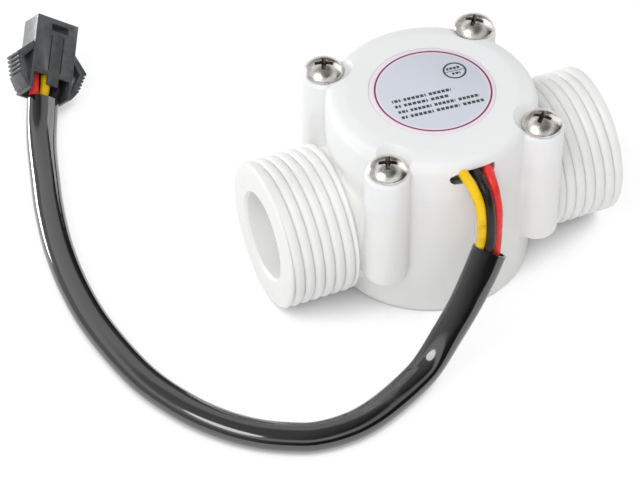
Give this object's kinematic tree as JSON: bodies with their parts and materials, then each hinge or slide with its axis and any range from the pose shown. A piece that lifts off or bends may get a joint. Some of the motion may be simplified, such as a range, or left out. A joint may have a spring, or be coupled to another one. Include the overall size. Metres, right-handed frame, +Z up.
{
  "type": "water flow sensor",
  "caption": "In-line flow sensor with a threaded stub at each end, a screwed round cover over a paddle rotor chamber, and a sleeved three-wire lead with a plug.",
  "frame": {"origin": "centre of the housing's flat base, at the bottom of the object without its lead", "axes": "+X along the pipe from the inlet end to the outlet end, +Z up through the cover along the rotor's axis; the lead leaves the cover on the -Y side"},
  "size_m": [0.0969, 0.1118, 0.0366],
  "materials": {
    "white_nylon": "satin moulded nylon",
    "cover_nylon": "satin moulded nylon",
    "plate_nylon": "moulded nylon",
    "rotor_nylon": "moulded nylon",
    "seal_rubber": "matt",
    "stainless_steel": "ground",
    "nickel_plate": "bright nickel plate",
    "ferrite": "dark bonded magnet",
    "silver_film": "satin film",
    "board_laminate": "green solder mask",
    "chip_resin": "moulded resin",
    "dark_ceramic": "matt",
    "tan_ceramic": "matt",
    "yellow_vinyl": "smooth insulation",
    "black_vinyl": "smooth insulation",
    "red_vinyl": "smooth insulation",
    "sleeve_vinyl": "glossy sleeve",
    "plug_nylon": "satin moulded nylon",
    "tinned_brass": "tin plate"
  },
  "bodies": {
    "sensor": {"housing": "white_nylon", "cover": "cover_nylon", "sealing_plate": "plate_nylon", "o_ring": "seal_rubber", "shaft": "stainless_steel", "label": "silver_film", "screw_1": "nickel_plate", "screw_2": "nickel_plate", "screw_3": "nickel_plate", "screw_4": "nickel_plate", "circuit_board": "board_laminate", "hall_sensor": "chip_resin", "resistor": "dark_ceramic", "capacitor": "tan_ceramic", "wire_yellow": "yellow_vinyl", "wire_black": "black_vinyl", "wire_red": "red_vinyl", "cable_sleeve": "sleeve_vinyl", "tail_yellow": "yellow_vinyl", "tail_black": "black_vinyl", "tail_red": "red_vinyl", "connector_housing": "plug_nylon", "contact_1": "tinned_brass", "contact_2": "tinned_brass", "contact_3": "tinned_brass"},
    "rotor": {"rotor": "rotor_nylon", "ring_magnet": "ferrite"}
  },
  "joints": [
    {"name": "rotor_spin", "type": "hinge", "parent": "sensor", "child": "rotor", "pos_m": [0, 0, 0.0133], "axis": [0, 0, 1], "continuous": true}
  ]
}
